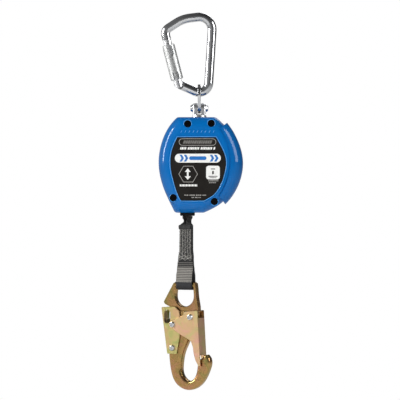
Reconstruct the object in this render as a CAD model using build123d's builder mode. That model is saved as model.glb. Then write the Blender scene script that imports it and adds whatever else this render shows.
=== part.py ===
"""Self retracting lifeline: carabiner, swivel, webbing reel in a housing, web end and snap hook.

Millimetres. +Z up, +X right, +Y to the rear. The origin is the point inside the carabiner's crown
where the anchor bears, and everything hangs below it.
"""

from build123d import *
from math import cos, radians, sin
import os

os.makedirs("parts", exist_ok=True)

# Carabiner
BAR_R = 6.25
CARABINER_LINE = [(-45.5, -26.5), (-48.7, -14.3), (-23.5, 2.2), (19.3, 7.4), (12.1, -107.3), (-27.8, -89.4)]
CARABINER_BENDS = [9, 45, 18, 13.5]
HINGE_X, HINGE_Z = -29.6, -88.0
GATE_LENGTH = 62.7
GATE_R = 6.2
GATE_LEAN = 14.5
SLEEVE_R = 8.75

# Swivel
EYE_Z, EYE_HOLE_R, EYE_R = -103.9, 10.2, 14.4
BOLT_Z, BOLT_R = -122.9, 4.0
STUD_R = 6.0

# Housing: a half outline on each side, and how far it closes in towards the front and back faces
HOUSING_LEFT = [(-30.5, -135.8), (-45.1, -153.9), (-53.1, -173.5), (-56.7, -198), (-54.5, -218.5)]
HOUSING_LEFT += [(-49.8, -234.8), (-42.8, -251), (-34, -269.1)]
HOUSING_RIGHT = [(22.6, -135.8), (37, -149.5), (49, -170), (56, -198), (53.5, -219), (45.5, -238)]
HOUSING_RIGHT += [(33, -253.8), (22, -261.5), (6, -269.1)]
HOUSING_MIDDLE = (0, -202.5)
HOUSING_HALF = (57.0, 66.6)
BEVEL = [(17, 0), (25, 2.6), (30.4, 7.5), (33, 14)]
CAVITY_BEVEL = [(15.5, 3), (22.5, 5.4), (27.4, 10), (30, 16.5)]
GRIP_BEVEL = [(17, -5), (26, -2.4), (32, 4), (35.2, 13)]
SCREWS = [(-16.2, -145.5), (16.7, -144.9), (-36.2, -248.2), (21.0, -253.4)]
BOSS_TOPS = [31.9, 31.9, 30.0, 29.6]
LABEL_LEFT = [(-25.5, -252.3), (-31.5, -240), (-38.8, -213.4), (-40.2, -196), (-37.7, -180.9)]
LABEL_LEFT += [(-30.5, -164)]
LABEL_RIGHT = [(23.2, -164), (29.6, -175.5), (34.8, -187), (37.4, -201), (31.9, -225), (21.6, -242.3)]
LABEL_RIGHT += [(6.4, -252.3)]
LABEL_MIDDLE = (-1.4, -208.1)
LABEL_HALF = (38.8, 44.2)

# Reel
AXIS_X, AXIS_Z = 0.0, -203.0
SHAFT_R = 6.0
HUB_R, FLANGE_R = 17.0, 48.0
WEB_WIDTH, WEB_THICKNESS = 25.4, 1.6
ROLL_TURNS, ROLL_PITCH, ROLL_START = 14, 1.8, 18.7
SPRING_TURNS, SPRING_PITCH, SPRING_START = 20, 1.3, 12.2
TEETH = 12
PAWL_PIVOT = 24.0
GUIDE_X = -16.5

# Snap hook: the eye bar's centre, and the yaw of the hook's own plane
YAW = 27.0
EYE_BAR = (-18.9, 0, -370.4)
GATE_PIVOT = (11.7, -44.5)
LEVER_PIVOT = (-17.3, -88.0)
LOBE = (-15.9, -55.3)
EYE_WINDOW_R = 14.4
HOOK_OUTER = [(-24.3, -97.3), (-21.7, -118.2), (-13.2, -137.9), (6.3, -146.6), (24.5, -139.1)]
HOOK_OUTER += [(37.6, -118.2), (40.2, -108.9), (38.8, -100.8)]
HOOK_INNER = [(20.6, -112), (18.7, -122.9), (14.1, -131), (7.6, -133.9), (1.1, -131), (-4.1, -122.9)]
HOOK_INNER += [(-4.6, -112), (-0.5, -92), (6, -78), (9.0, -68)]

GATE_UP = (-sin(radians(GATE_LEAN)), 0, cos(radians(GATE_LEAN)))
GATE_SIDE = (cos(radians(GATE_LEAN)), 0, sin(radians(GATE_LEAN)))
GATE_AXIS = Plane(origin=(HINGE_X, 0, HINGE_Z), x_dir=GATE_SIDE, z_dir=GATE_UP)
GATE_FACE = Plane(origin=(HINGE_X, 0, HINGE_Z), x_dir=GATE_SIDE, z_dir=(0, -1, 0))
REEL = Plane(origin=(AXIS_X, 0, AXIS_Z), x_dir=(1, 0, 0), z_dir=(0, -1, 0))
HOOK_U = (cos(radians(YAW)), -sin(radians(YAW)), 0)
HOOK_BACK = (sin(radians(YAW)), cos(radians(YAW)), 0)
HOOK = Plane(origin=EYE_BAR, x_dir=HOOK_U, z_dir=(-HOOK_BACK[0], -HOOK_BACK[1], 0))
HOOK_REAR = Plane(origin=EYE_BAR, x_dir=(-HOOK_U[0], -HOOK_U[1], 0), z_dir=HOOK_BACK)
LOOP = Plane(origin=EYE_BAR, x_dir=HOOK_BACK, z_dir=HOOK_U)


def save(builder, label):
    """Label a finished piece and write its STEP file."""
    builder.part.label = label
    export_step(builder.part, f"parts/{label}.step")


def polygon(points, radius=0.0, mode=Mode.ADD):
    """A face with the given corners, rounded."""
    with BuildLine() as line:
        if radius:
            FilletPolyline(*points, radius=radius, close=True)
        else:
            Polyline(*points, close=True)
    make_face(line.edges(), mode=mode)


def ring(outer, inner, count=0, at=0.0, hole=0.0, start=0.0):
    """An annulus, with an optional circle of holes."""
    Circle(outer)
    Circle(inner, mode=Mode.SUBTRACT)
    if count:
        with PolarLocations(at, count, start_angle=start):
            Circle(hole, mode=Mode.SUBTRACT)


def coil(start, direction, radius, wire, pitch, height):
    """A coil spring as a swept wire."""
    with BuildPart() as spring:
        with BuildLine():
            path = Helix(pitch, height, radius, center=start, direction=direction)
        with BuildSketch(Plane(origin=path @ 0, z_dir=path % 0)):
            Circle(wire / 2)
        sweep()
    return spring


def grown(points, middle, half, margin):
    """Points moved out from the middle of their outline by a margin."""
    mx, mz = middle
    scale_x, scale_z = 1 + margin / half[0], 1 + margin / half[1]
    return [(mx + (x - mx) * scale_x, mz + (z - mz) * scale_z) for x, z in points]


def housing_outline(inset):
    """The housing's outline drawn in by inset, with rounded corners."""
    left = grown(HOUSING_LEFT, HOUSING_MIDDLE, HOUSING_HALF, -inset)
    right = grown(HOUSING_RIGHT, HOUSING_MIDDLE, HOUSING_HALF, -inset)
    with BuildLine() as line:
        Line(left[0], right[0])
        Spline(*right)
        Line(right[-1], left[-1])
        Spline(*left)
    face = make_face(line.edges())
    fillet(face.vertices(), 5)


def housing_half(bevel):
    """The front half of a housing-shaped solid, from the parting plane to its face."""
    with BuildPart() as half:
        with BuildSketch(Plane.XZ):
            housing_outline(bevel[0][1])
        extrude(amount=bevel[0][0])
        for depth, inset in bevel:
            with BuildSketch(Plane.XZ.offset(depth)):
                housing_outline(inset)
        loft()
    return half.part


def label_outline(margin=0.0):
    """The label's outline, grown by a margin."""
    left = grown(LABEL_LEFT, LABEL_MIDDLE, LABEL_HALF, margin)
    right = grown(LABEL_RIGHT, LABEL_MIDDLE, LABEL_HALF, margin)
    with BuildLine() as line:
        Line(left[-1], right[0])
        Spline(*right)
        Line(right[-1], left[0])
        Spline(*left)
    face = make_face(line.edges())
    fillet(face.vertices(), 3)


def grip_outline(shift=0.0, mode=Mode.ADD):
    """The lens-shaped outline of the side grip, its inner edge moved by shift."""
    inner = [(29 + shift, -152), (39.6 + shift, -172), (43.8 + shift, -198), (40 + shift, -222)]
    inner.append((28.2 + shift, -246))
    with BuildLine() as line:
        Spline(*inner)
        Polyline(inner[-1], (40, -262), (75, -240), (75, -150), (43, -139.8), inner[0])
    make_face(line.edges(), mode=mode)


def spiral(turns, pitch, start, thickness):
    """A flat spiral ribbon's edge view, made of half circles about two centres."""
    step = pitch / 2
    last = 2 * turns - 1
    with BuildLine() as line:
        for side in (-thickness / 2, thickness / 2):
            for i in range(2 * turns):
                centre = (-step / 2, 0) if i % 2 == 0 else (step / 2, 0)
                CenterArc(centre, start + i * step + side, 180 * (i % 2), 180)
        inner = start - step / 2
        outer = start + last * step + step / 2
        Line((inner - thickness / 2, 0), (inner + thickness / 2, 0))
        Line((outer - thickness / 2, 0), (outer + thickness / 2, 0))
    make_face(line.edges())


def domed_head(plane, centre, radius, height):
    """A domed rivet or bolt head standing on a plane."""
    with BuildPart() as head:
        with BuildSketch(plane):
            with Locations(centre):
                Circle(radius)
        extrude(amount=height, taper=28)
        fillet(head.edges().filter_by(GeomType.CIRCLE).sort_by(SortBy.RADIUS)[0], height * 0.45)
    return head.part


# ---------------------------------------------------------------- carabiner

with BuildPart() as carabiner_body:
    with BuildLine(Plane.XZ) as bar_line:
        FilletPolyline(*CARABINER_LINE, radius=CARABINER_BENDS)
    with BuildSketch(Plane(origin=bar_line.line @ 0, z_dir=bar_line.line % 0)):
        Circle(BAR_R)
    sweep()
    # two turned bands round the nose
    with Locations(GATE_AXIS):
        with Locations((0, 0, 65.5), (0, 0, 68.5)):
            Torus(BAR_R + 0.15, 0.6, mode=Mode.SUBTRACT)
    # flat tongue for the gate's fork, with a shoulder cut clear of the fork's swing
    for offset_y in (2.5, -7.5):
        with BuildSketch(GATE_FACE.offset(offset_y)):
            Circle(9.2)
        extrude(amount=5, mode=Mode.SUBTRACT)
    with BuildSketch(GATE_FACE):
        Circle(5.9)
    extrude(amount=2.5, both=True)
    with BuildSketch(GATE_FACE):
        Circle(2.02)
    extrude(amount=8, both=True, mode=Mode.SUBTRACT)
    # hooked latch tongue at the nose
    with BuildSketch(GATE_FACE):
        polygon(
            [(-4.2, 65), (-4.2, 52.6), (4.2, 52.6), (4.2, 55.1)]
            + [(-1.9, 55.1), (-1.9, 58.9), (4.2, 58.9), (4.2, 65)]
        )
    extrude(amount=2, both=True)
save(carabiner_body, "carabiner_body")

with BuildPart() as carabiner_hinge_rivet:
    with BuildSketch(GATE_FACE):
        Circle(2)
    extrude(amount=6.5, both=True)
    fillet(carabiner_hinge_rivet.edges().filter_by(GeomType.CIRCLE), 0.6)
save(carabiner_hinge_rivet, "carabiner_hinge_rivet")

with BuildPart() as carabiner_gate:
    with BuildSketch(GATE_FACE):
        Circle(GATE_R)
        with Locations((0, GATE_LENGTH / 2)):
            Rectangle(2 * GATE_R, GATE_LENGTH)
    extrude(amount=GATE_R, both=True)
    with BuildSketch(GATE_AXIS.offset(-GATE_R)):
        Circle(GATE_R)
    extrude(amount=GATE_LENGTH + GATE_R, mode=Mode.INTERSECT)
    # fork slot, latch slot, spring groove and plunger bore
    with BuildSketch(GATE_FACE):
        with Locations((0, 0.5), (0, 57)):
            Rectangle(14, 14)
    extrude(amount=2.75, both=True, mode=Mode.SUBTRACT)
    with BuildSketch(GATE_AXIS.offset(23)):
        ring(7, 4.6)
    extrude(amount=12, mode=Mode.SUBTRACT)
    with BuildSketch(GATE_AXIS.offset(7)):
        Circle(2.2)
    extrude(amount=13, mode=Mode.SUBTRACT)
    with BuildSketch(GATE_FACE):
        Circle(2.06)
        with Locations((0, 57)):
            Circle(1.52)
    extrude(amount=8, both=True, mode=Mode.SUBTRACT)
save(carabiner_gate, "carabiner_gate")

with BuildPart() as gate_latch_pin:
    with BuildSketch(GATE_FACE):
        with Locations((0, 57)):
            Circle(1.5)
    extrude(amount=6, both=True)
save(gate_latch_pin, "gate_latch_pin")

with BuildPart() as gate_plunger:
    with BuildSketch(GATE_AXIS.offset(6.1)):
        Circle(2.14)
    extrude(amount=4)
    fillet(gate_plunger.edges().filter_by(GeomType.CIRCLE), 0.5)
save(gate_plunger, "gate_plunger")

gate_spring = coil(tuple(GATE_AXIS.from_local_coords((0, 0, 10.6))), GATE_UP, 1.5, 0.6, 1.5, 8.6)
save(gate_spring, "gate_spring")

sleeve_spring = coil(tuple(GATE_AXIS.from_local_coords((0, 0, 24))), GATE_UP, 5.42, 0.9, 1.5, 9.8)
save(sleeve_spring, "sleeve_spring")

with BuildPart() as carabiner_sleeve:
    with BuildSketch(GATE_AXIS.offset(5.5)):
        ring(SLEEVE_R, GATE_R + 0.08)
    extrude(amount=50)
    chamfer(carabiner_sleeve.edges().filter_by(GeomType.CIRCLE).group_by(SortBy.RADIUS)[-1], 0.8)
    # thumb notches: two deep ones at the top with a sighting slit, two narrow ones at the foot
    with BuildSketch(GATE_FACE):
        with Locations((1.4, 50)):
            SlotOverall(22, 6.4, rotation=90)
        with Locations((0.2, 37.5)):
            SlotOverall(8, 1.3, rotation=100)
        with Locations((-2.6, 9), (2.6, 8.5)):
            SlotOverall(15, 3, rotation=90)
    extrude(amount=12, both=True, mode=Mode.SUBTRACT)
    # slot in the outer wall that lets the nose's tongue pass as the gate opens
    with BuildSketch(GATE_FACE):
        with Locations((-7.5, 53.3)):
            Rectangle(5, 5)
    extrude(amount=2.35, both=True, mode=Mode.SUBTRACT)
save(carabiner_sleeve, "carabiner_sleeve")

# ------------------------------------------------------------------- swivel

with BuildPart() as swivel_eye:
    with BuildSketch(Plane.YZ):
        with Locations((0, EYE_Z)):
            Circle(EYE_R)
        with Locations((0, BOLT_Z)):
            Circle(7.3)
        make_hull()
        with Locations((0, EYE_Z)):
            Circle(EYE_HOLE_R, mode=Mode.SUBTRACT)
        with Locations((0, BOLT_Z)):
            Circle(BOLT_R + 0.06, mode=Mode.SUBTRACT)
    extrude(amount=2.1, both=True)
    rims = swivel_eye.edges().filter_by(GeomType.CIRCLE).sort_by(SortBy.RADIUS)
    fillet([edge for edge in rims if edge.radius > 9], 0.7)
save(swivel_eye, "swivel_eye")

with BuildPart() as swivel_clevis:
    with BuildSketch(Plane.YZ):
        with Locations((0, BOLT_Z)):
            Circle(7)
        with Locations((0, -128)):
            Rectangle(14, 10.2)
    extrude(amount=9, both=True)
    fillet(swivel_clevis.edges().filter_by(Axis.Z), 2.4)
    with BuildSketch(Plane.XY.offset(-135.4)):
        Circle(10.2)
    extrude(amount=2.5, taper=15)
    with BuildSketch(Plane.XY.offset(-155.6)):
        Circle(STUD_R)
    extrude(amount=21)
    with BuildSketch(Plane.YZ):
        with Locations((0, -122.4)):
            Rectangle(30, 17.8)
    extrude(amount=2.5, both=True, mode=Mode.SUBTRACT)
    with BuildSketch(Plane.YZ):
        with Locations((0, BOLT_Z)):
            Circle(BOLT_R + 0.02)
    extrude(amount=20, both=True, mode=Mode.SUBTRACT)
save(swivel_clevis, "swivel_clevis")

BOLT_END = Plane(origin=(-9.05, 0, 0), x_dir=(0, -1, 0), z_dir=(-1, 0, 0))

with BuildPart() as clevis_bolt:
    with BuildSketch(Plane.YZ.offset(-9.2)):
        with Locations((0, BOLT_Z)):
            Circle(BOLT_R)
    extrude(amount=18.2)
    with BuildSketch(Plane.YZ.offset(9)):
        with Locations((0, BOLT_Z)):
            Circle(3)
    extrude(amount=2)
    add(domed_head(BOLT_END, (0, BOLT_Z), 5.6, 3.4))
save(clevis_bolt, "clevis_bolt")

with BuildPart() as clevis_nut:
    add(domed_head(Plane.YZ.offset(9.05), (0, BOLT_Z), 5.6, 3.4))
    with BuildSketch(Plane.YZ.offset(9)):
        with Locations((0, BOLT_Z)):
            Circle(3.02)
    extrude(amount=2.2, mode=Mode.SUBTRACT)
save(clevis_nut, "clevis_nut")

with BuildPart() as swivel_thrust_washer:
    with BuildSketch(Plane.XY.offset(-150)):
        ring(9.3, STUD_R + 0.02)
    extrude(amount=1.4)
save(swivel_thrust_washer, "swivel_thrust_washer")

with BuildPart() as swivel_lock_nut:
    with BuildSketch(Plane.XY.offset(-155.2)):
        RegularPolygon(8, 6, major_radius=False)
        Circle(STUD_R + 0.02, mode=Mode.SUBTRACT)
    extrude(amount=5.1)
save(swivel_lock_nut, "swivel_lock_nut")

# ------------------------------------------------------------------ housing

housing_shape = housing_half(BEVEL)

with BuildPart() as cavity:
    add(housing_half(CAVITY_BEVEL))
    # solid bosses stay where the cover screws pass, and round the swivel stud
    with BuildSketch(Plane.XZ):
        with Locations(*SCREWS):
            Circle(6.3)
    extrude(amount=40, mode=Mode.SUBTRACT)
    with BuildSketch(Plane.XY.offset(-144.2)):
        Circle(9.2)
    extrude(amount=10, mode=Mode.SUBTRACT)

with BuildPart() as shell:
    add(housing_shape)
    for (x, z), top in zip(SCREWS, BOSS_TOPS):
        with BuildSketch(Plane.XZ.offset(20)):
            with Locations((x, z)):
                Circle(6.3)
        extrude(amount=top - 20)
    add(cavity.part, mode=Mode.SUBTRACT)
    # stud hole and the mouth for the web guide
    with BuildSketch(Plane.XY.offset(-150)):
        Circle(6.5)
    extrude(amount=20, mode=Mode.SUBTRACT)
    with BuildSketch(Plane.XY.offset(-272)):
        with Locations((GUIDE_X, 0)):
            Rectangle(16.4, 33.6)
    extrude(amount=10, mode=Mode.SUBTRACT)

with BuildPart() as front_cover:
    add(shell.part)
    with BuildSketch(Plane.XZ.offset(22)):
        with Locations(*SCREWS):
            Circle(5.25)
    extrude(amount=20, mode=Mode.SUBTRACT)
    with BuildSketch(Plane.XZ):
        with Locations(*SCREWS):
            Circle(3.15)
    extrude(amount=40, mode=Mode.SUBTRACT)
    # raised rim and shallow seat for the label
    with BuildSketch(Plane.XZ.offset(32)):
        label_outline(1.1)
    extrude(amount=1.7)
    with BuildSketch(Plane.XZ.offset(32.5)):
        label_outline()
    extrude(amount=3, mode=Mode.SUBTRACT)
    # groove along the inner edge of the grip
    with BuildSketch(Plane.XZ.offset(31.2)):
        grip_outline(-2.2)
        grip_outline(mode=Mode.SUBTRACT)
    extrude(amount=5, mode=Mode.SUBTRACT)
    # slanted raised bars above the label
    with BuildSketch(Plane.XZ.offset(32.8)):
        with Locations((-2.5, -156.2)):
            with GridLocations(5.6, 1, 9, 1):
                SlotOverall(5.0, 1.5, rotation=62)
    extrude(amount=0.7)
save(front_cover, "front_cover")

with BuildPart() as rear_cover:
    add(shell.part)
    with BuildSketch(Plane.XZ.offset(20)):
        with Locations(*SCREWS):
            Circle(5.9)
    extrude(amount=20, mode=Mode.SUBTRACT)
    with BuildSketch(Plane.XZ):
        with Locations(*SCREWS):
            Circle(3.15)
    extrude(amount=40, mode=Mode.SUBTRACT)
    mirror(about=Plane.XZ, mode=Mode.REPLACE)
save(rear_cover, "rear_cover")

with BuildPart() as grip_body:
    add(housing_half(GRIP_BEVEL))
    with BuildSketch(Plane.XZ):
        grip_outline()
    extrude(amount=40, mode=Mode.INTERSECT)
    add(housing_half([(depth + 0.05, inset - 0.05) for depth, inset in BEVEL]), mode=Mode.SUBTRACT)

with BuildPart() as side_grip:
    add(grip_body.part)
    mirror(about=Plane.XZ)
save(side_grip, "side_grip")

with BuildPart() as label_plate:
    with BuildSketch(Plane.XZ.offset(32.5)):
        label_outline(-0.05)
    extrude(amount=0.7)
save(label_plate, "label_plate")

with BuildPart() as cover_screws:
    with BuildSketch(Plane.XZ.offset(22)):
        with Locations(*SCREWS):
            Circle(4.9)
    extrude(amount=5.4)
    chamfer(cover_screws.faces().sort_by(Axis.Y)[:4].edges(), 0.5)
    with BuildSketch(Plane.XZ.offset(24.4)):
        with Locations(*SCREWS):
            RegularPolygon(2.5, 6, major_radius=False)
    extrude(amount=4, mode=Mode.SUBTRACT)
    with BuildSketch(Plane.XZ.offset(-25.6)):
        with Locations(*SCREWS):
            Circle(3)
    extrude(amount=47.6)
save(cover_screws, "cover_screws")

with BuildPart() as cover_nuts:
    with BuildSketch(Plane.XZ.offset(-25)):
        with Locations(*SCREWS):
            RegularPolygon(5, 6, major_radius=False)
            Circle(3.02, mode=Mode.SUBTRACT)
    extrude(amount=5)
save(cover_nuts, "cover_nuts")

with BuildPart() as web_guide:
    with BuildSketch(Plane.XY.offset(-273.4)):
        with Locations((GUIDE_X, 0)):
            RectangleRounded(20.6, 37.2, 3)
    extrude(amount=4.2)
    chamfer(web_guide.faces().sort_by(Axis.Z)[0].edges(), 0.9)
    with BuildSketch(Plane.XY.offset(-269.2)):
        with Locations((GUIDE_X, 0)):
            RectangleRounded(16.0, 33.2, 2)
    extrude(amount=3.4)
    with BuildSketch(Plane.XY.offset(-265.8)):
        with Locations((GUIDE_X, 0)):
            RectangleRounded(16.0, 33.2, 2)
    extrude(amount=0.8)
    with BuildSketch(Plane.XY.offset(-265)):
        with Locations((GUIDE_X, 0)):
            RectangleRounded(21, 33.2, 2)
    extrude(amount=2.2)
    with BuildSketch(Plane.XY.offset(-280)):
        with Locations((GUIDE_X, 0)):
            SlotOverall(29.4, 5.4, rotation=90)
    extrude(amount=20, mode=Mode.SUBTRACT)
save(web_guide, "web_guide")

# --------------------------------------------------------- frame and brake

with BuildPart() as main_frame:
    with BuildSketch(Plane.XY.offset(-148.5)):
        with Locations((0, -2.7)):
            Rectangle(18.8, 45.6)
        Circle(STUD_R + 0.06, mode=Mode.SUBTRACT)
    extrude(amount=4)
    for front, radius, bore in ((25.5, 47.3, SHAFT_R + 0.02), (-17.6, 44, 9.06)):
        with BuildSketch(REEL.offset(front - 2.5)):
            Circle(radius)
            with Locations((0, 50.8)):
                Rectangle(18.8, 1)
            make_hull()
            with Locations((0, 54.5)):
                Rectangle(18.8, 8)
            Circle(bore, mode=Mode.SUBTRACT)
            with PolarLocations(29, 6, start_angle=30):
                Circle(6, mode=Mode.SUBTRACT)
        extrude(amount=2.5)
    with BuildSketch(REEL.offset(20)):
        with PolarLocations(45.2, 3, start_angle=90):
            Circle(1.27)
    extrude(amount=10, mode=Mode.SUBTRACT)
save(main_frame, "main_frame")

with BuildPart() as drum_shaft:
    with BuildSketch(REEL.offset(-29.4)):
        Circle(SHAFT_R)
    extrude(amount=56.4)
    for front in (26.4, -28.4):
        with BuildSketch(REEL.offset(front - 0.8)):
            ring(8, 5.4)
        extrude(amount=0.8, mode=Mode.SUBTRACT)
save(drum_shaft, "drum_shaft")

with BuildPart() as shaft_clips:
    for front in (26.35, -28.5):
        with BuildSketch(REEL.offset(front - 0.6)):
            ring(8, 5.45)
            with Locations((0, -7)):
                Rectangle(4, 6, mode=Mode.SUBTRACT)
        extrude(amount=0.5)
save(shaft_clips, "shaft_clips")

with BuildPart() as ratchet_ring:
    with BuildSketch(REEL.offset(18.6)):
        ring(42.6, 34)
        for i in range(TEETH):
            turn = 360 / TEETH * i
            gap = [(33, 25), (33.6, 25), (38.5, 35.5), (38.5, 45), (33, 45)]
            corners = [(r * cos(radians(a + turn)), r * sin(radians(a + turn))) for r, a in gap]
            polygon(corners, mode=Mode.SUBTRACT)
    extrude(amount=3.2)
save(ratchet_ring, "ratchet_ring")

for label, outer, inner, front, thick in (
    ("friction_disc_front", 42.4, 35.2, 21.8, 1.2),
    ("friction_disc_rear", 42.4, 39.4, 17.6, 1.0),
    ("spring_cup_lid", 40.5, SHAFT_R + 0.02, -28.6, 1.0),
):
    with BuildPart() as disc:
        with BuildSketch(REEL.offset(front)):
            ring(outer, inner)
        extrude(amount=thick)
    save(disc, label)

with BuildPart() as clamp_ring:
    with BuildSketch(REEL.offset(16.5)):
        ring(47.2, 39.4, 3, 45.2, 1.27, start=90)
    extrude(amount=1.1)
save(clamp_ring, "clamp_ring")

with BuildPart() as clamp_screws:
    with BuildSketch(REEL.offset(16.5)):
        with PolarLocations(45.2, 3, start_angle=90):
            Circle(1.25)
    extrude(amount=9.2)
    with BuildSketch(REEL.offset(17.65)):
        with PolarLocations(45.2, 3, start_angle=90):
            Circle(2)
    extrude(amount=5.3)
    with BuildSketch(REEL.offset(25.55)):
        with PolarLocations(45.2, 3, start_angle=90):
            Circle(2.2)
    extrude(amount=1.4)
save(clamp_screws, "clamp_screws")

with BuildPart() as web_span:
    with BuildLine(Plane.XZ) as span_line:
        FilletPolyline((-42.8, -221), (GUIDE_X, -259), (GUIDE_X, -273.2), radius=6)
    with BuildSketch(Plane(origin=span_line.line @ 0, x_dir=(0, 1, 0), z_dir=span_line.line % 0)):
        Rectangle(WEB_WIDTH, WEB_THICKNESS)
    sweep()
save(web_span, "web_span")

with BuildPart() as spring_cup:
    with BuildSketch(REEL.offset(-21.3)):
        ring(40.5, 12.2)
    extrude(amount=1)
    with BuildSketch(REEL.offset(-27.55)):
        ring(40.5, 39)
    extrude(amount=6.25)
save(spring_cup, "spring_cup")

with BuildPart() as power_spring:
    with BuildSketch(REEL.offset(-27.2)):
        spiral(SPRING_TURNS, SPRING_PITCH, SPRING_START, 0.6)
    extrude(amount=5.6)
save(power_spring, "power_spring")

# --------------------------------------------------------------------- drum

with BuildPart() as drum_hub:
    with BuildSketch(REEL.offset(-13.6)):
        ring(HUB_R, 8.52, 6, 12.8, 2.02)
    extrude(amount=27.2)
    with BuildSketch(REEL.offset(-20.6)):
        ring(9, SHAFT_R + 0.2)
    extrude(amount=4.8)
    with BuildSketch(REEL.offset(-15.8)):
        ring(9, 8.52)
    extrude(amount=2.3)
    # pocket and mouth that hold the web's end
    with BuildSketch(REEL.offset(-13.6)):
        with Locations((0, 13)):
            Circle(2.4)
        with Locations((0, 16)):
            Rectangle(2.2, 5)
    extrude(amount=27.2, mode=Mode.SUBTRACT)
save(drum_hub, "drum_hub")

for label, front in (("drum_flange_front", 13.65), ("drum_flange_rear", -16.1)):
    with BuildPart() as flange:
        with BuildSketch(REEL.offset(front)):
            ring(FLANGE_R, 9.02, 6, 12.8, 2.02)
            with PolarLocations(34, 6, start_angle=30):
                Circle(6, mode=Mode.SUBTRACT)
            if front > 0:
                with Locations((PAWL_PIVOT, 0), (-PAWL_PIVOT, 0)):
                    Circle(2.02, mode=Mode.SUBTRACT)
        extrude(amount=2.45)
    save(flange, label)

with BuildPart() as drum_rivets:
    with BuildSketch(REEL.offset(-17)):
        with PolarLocations(12.8, 6):
            Circle(2)
    extrude(amount=34)
    for front in (-17.1, 16.15):
        with BuildSketch(REEL.offset(front)):
            with PolarLocations(12.8, 6):
                Circle(3)
        extrude(amount=0.95)
save(drum_rivets, "drum_rivets")

for label, front in (("bush_front", 8.0), ("bush_rear", -15.7)):
    with BuildPart() as bush:
        with BuildSketch(REEL.offset(front)):
            ring(8.5, SHAFT_R + 0.06)
        extrude(amount=7.7)
    save(bush, label)

with BuildPart() as spring_arbor:
    with BuildSketch(REEL.offset(-27.2)):
        ring(11.5, SHAFT_R + 0.2)
    extrude(amount=6.5)
save(spring_arbor, "spring_arbor")

with BuildPart() as web_roll:
    with BuildSketch(REEL.offset(-WEB_WIDTH / 2)):
        spiral(ROLL_TURNS, ROLL_PITCH, ROLL_START, WEB_THICKNESS)
    extrude(amount=WEB_WIDTH)
save(web_roll, "web_roll")

with BuildPart() as web_pin:
    with BuildSketch(REEL.offset(-13)):
        with Locations((0, 13)):
            Circle(2.1)
    extrude(amount=26)
save(web_pin, "web_pin")

with BuildPart() as pawl_pins:
    with BuildSketch(REEL.offset(13.8)):
        with Locations((PAWL_PIVOT, 0), (-PAWL_PIVOT, 0)):
            Circle(2)
    extrude(amount=8)
    with BuildSketch(REEL.offset(16.15)):
        with Locations((PAWL_PIVOT, 0), (-PAWL_PIVOT, 0)):
            Circle(3.4)
    extrude(amount=2.6)
save(pawl_pins, "pawl_pins")

with BuildPart() as pawl_springs:
    for x in (PAWL_PIVOT, -PAWL_PIVOT):
        start = tuple(REEL.from_local_coords((x, 0, 16.6)))
        add(coil(start, (0, -1, 0), 4.3, 0.6, 0.7, 1.4).part)
save(pawl_springs, "pawl_springs")

for label, side in (("pawl_a", 1), ("pawl_b", -1)):
    with BuildPart() as pawl:
        with BuildSketch(REEL.offset(18.9)):
            with Locations((side * PAWL_PIVOT, 0)):
                Circle(4.6)
            polygon([(side * x, side * z) for x, z in ((19.6, 1), (20.5, 21.2), (23.4, 23.6), (28.5, 1))])
            with Locations((side * PAWL_PIVOT, 0)):
                Circle(2.06, mode=Mode.SUBTRACT)
        extrude(amount=2.5)
    save(pawl, label)

# ----------------------------------------------------------------- lifeline

with BuildPart() as lifeline_loop:
    with BuildSketch(LOOP.offset(-WEB_WIDTH / 2)):
        Circle(6.7)
        polygon([(-6.7, 0), (6.7, 0), (6.4, 12), (2.2, 28), (-2.2, 28), (-6.4, 12)])
        Circle(4.8, mode=Mode.SUBTRACT)
        polygon([(-4.8, 0), (4.8, 0), (4.4, 12), (0.5, 24), (-0.5, 24), (-4.4, 12)], mode=Mode.SUBTRACT)
    extrude(amount=WEB_WIDTH)
save(lifeline_loop, "lifeline_loop")

with BuildPart() as lifeline_sewn:
    for x, z, yaw in ((-18.9, -342.4, 27), (-18.6, -333, 36), (-18.0, -322, 45), (-18.0, -286.4, 46)):
        turned = (cos(radians(yaw)), -sin(radians(yaw)), 0)
        with BuildSketch(Plane(origin=(x, 0, z), x_dir=turned, z_dir=(0, 0, 1))):
            Rectangle(WEB_WIDTH, 4.4)
    loft(ruled=True)
save(lifeline_sewn, "lifeline_sewn")

with BuildPart() as web_neck:
    for x, z, yaw, wide, thick in (
        (-18.0, -286.4, 46, 24, 4.4),
        (-17.6, -280.4, 50, 9.5, 6.5),
        (-16.4, -276.4, 66, 21, 3.4),
        (-16.5, -273.3, 88, 25.2, 1.8),
    ):
        turned = (cos(radians(yaw)), -sin(radians(yaw)), 0)
        with BuildSketch(Plane(origin=(x, 0, z), x_dir=turned, z_dir=(0, 0, 1))):
            Rectangle(wide, thick)
    loft(ruled=True)
save(web_neck, "web_neck")

# ---------------------------------------------------------------- snap hook

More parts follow.
